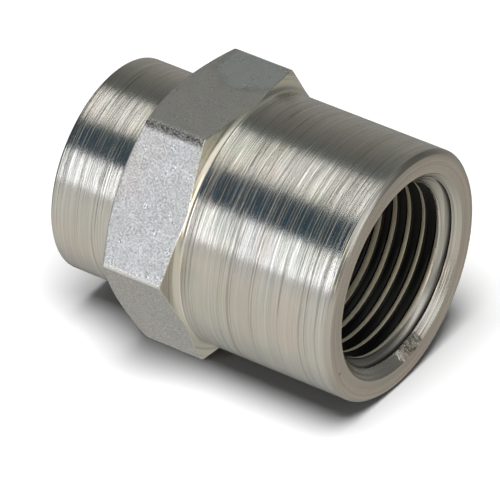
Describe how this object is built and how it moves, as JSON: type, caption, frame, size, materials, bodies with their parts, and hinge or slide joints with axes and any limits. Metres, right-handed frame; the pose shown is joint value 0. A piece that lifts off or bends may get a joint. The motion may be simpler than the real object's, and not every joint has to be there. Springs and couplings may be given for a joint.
{
  "type": "female pipe reducing coupling",
  "caption": "Short plated steel reducing coupling with a taper-threaded socket in each end and a hexagon for the wrench.",
  "frame": {"origin": "on the bore axis, midway between the two end faces", "axes": "+X along the bore axis towards the larger end, +Z square to one hexagon flat, so corners point along +Y and -Y"},
  "size_m": [0.0288, 0.0256, 0.0222],
  "materials": {
    "plated_steel": "zinc-plated, turned rings on the round ends, plain drawn flats"
  },
  "bodies": {
    "root": {"coupling_body": "plated_steel"}
  },
  "joints": []
}
